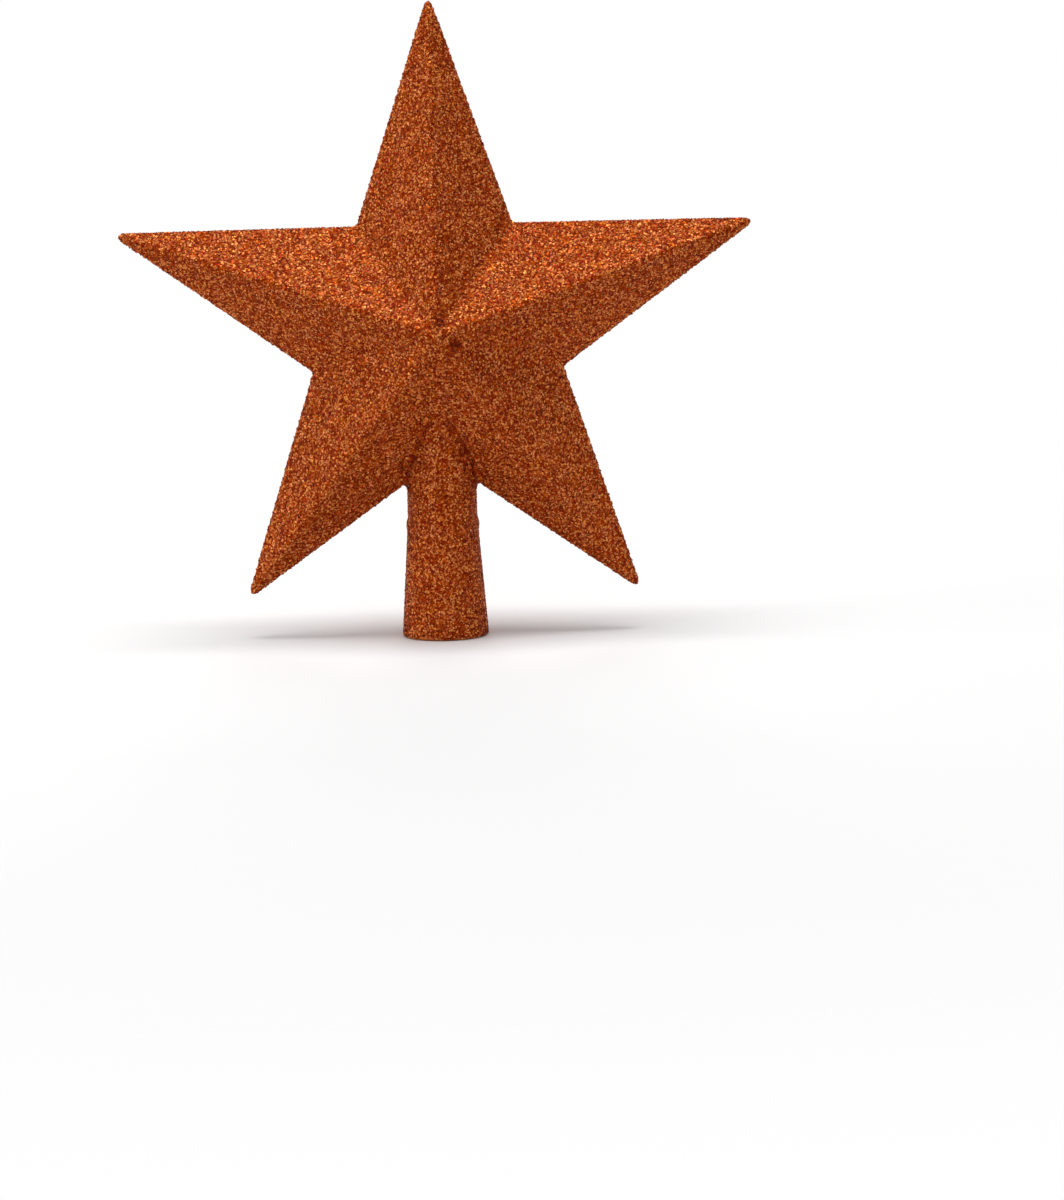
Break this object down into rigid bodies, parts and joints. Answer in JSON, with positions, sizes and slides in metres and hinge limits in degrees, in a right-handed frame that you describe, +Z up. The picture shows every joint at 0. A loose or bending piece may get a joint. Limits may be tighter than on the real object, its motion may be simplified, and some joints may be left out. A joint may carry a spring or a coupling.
{
  "type": "christmas tree topper star",
  "caption": "Hollow faceted star with a peak on the front and the back, coated in copper glitter, on a short neck and a round tapered tube that slips over the tip of a tree.",
  "frame": {"origin": "centre of the socket tube's mouth, in the plane of its rim, which is the part's lowest level", "axes": "+Z up along the socket tube towards the star's top arm, -Y out of the star's front face, +X to the right as seen from the front"},
  "size_m": [0.1892, 0.054, 0.1905],
  "materials": {
    "shell_plastic": "bare moulded plastic, copper brown",
    "tube_plastic": "bare moulded plastic, copper brown",
    "glitter_coat": "copper foil glitter flakes in clear binder"
  },
  "bodies": {
    "root": {"front_shell": "shell_plastic", "rear_shell": "shell_plastic", "socket_tube": "tube_plastic", "front_glitter_coat": "glitter_coat", "rear_glitter_coat": "glitter_coat", "tube_glitter_coat": "glitter_coat"}
  },
  "joints": []
}
